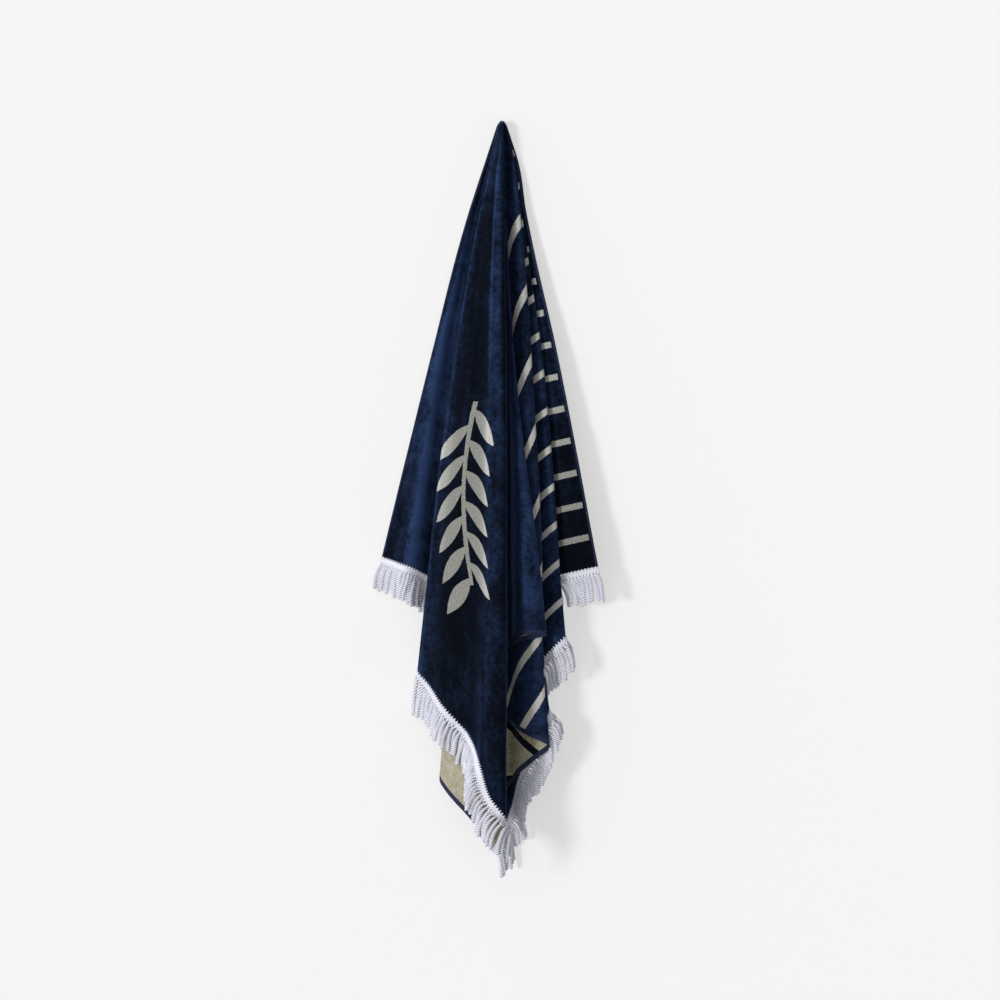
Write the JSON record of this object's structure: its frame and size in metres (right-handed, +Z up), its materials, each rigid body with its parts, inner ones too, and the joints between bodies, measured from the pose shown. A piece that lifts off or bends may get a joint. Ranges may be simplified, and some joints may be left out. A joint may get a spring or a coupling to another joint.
{
  "type": "fringed beach towel hanging from one point",
  "caption": "Velour beach towel with striped half and corded end fringes, hanging in folds from the middle of one long side.",
  "frame": {"origin": "the hang point, at the top of the folded cloth", "axes": "+Z up, +Y towards the wall behind it, +X to the right of a viewer who faces it"},
  "size_m": [0.4354, 0.1673, 1.4278],
  "materials": {
    "towel": "cotton velour face in navy with cream stripes, looped terry reverse in cream",
    "fringe": "soft white cotton cord"
  },
  "bodies": {
    "root": {"cloth": "towel", "fringe_right": "fringe", "fringe_left": "fringe"}
  },
  "joints": []
}
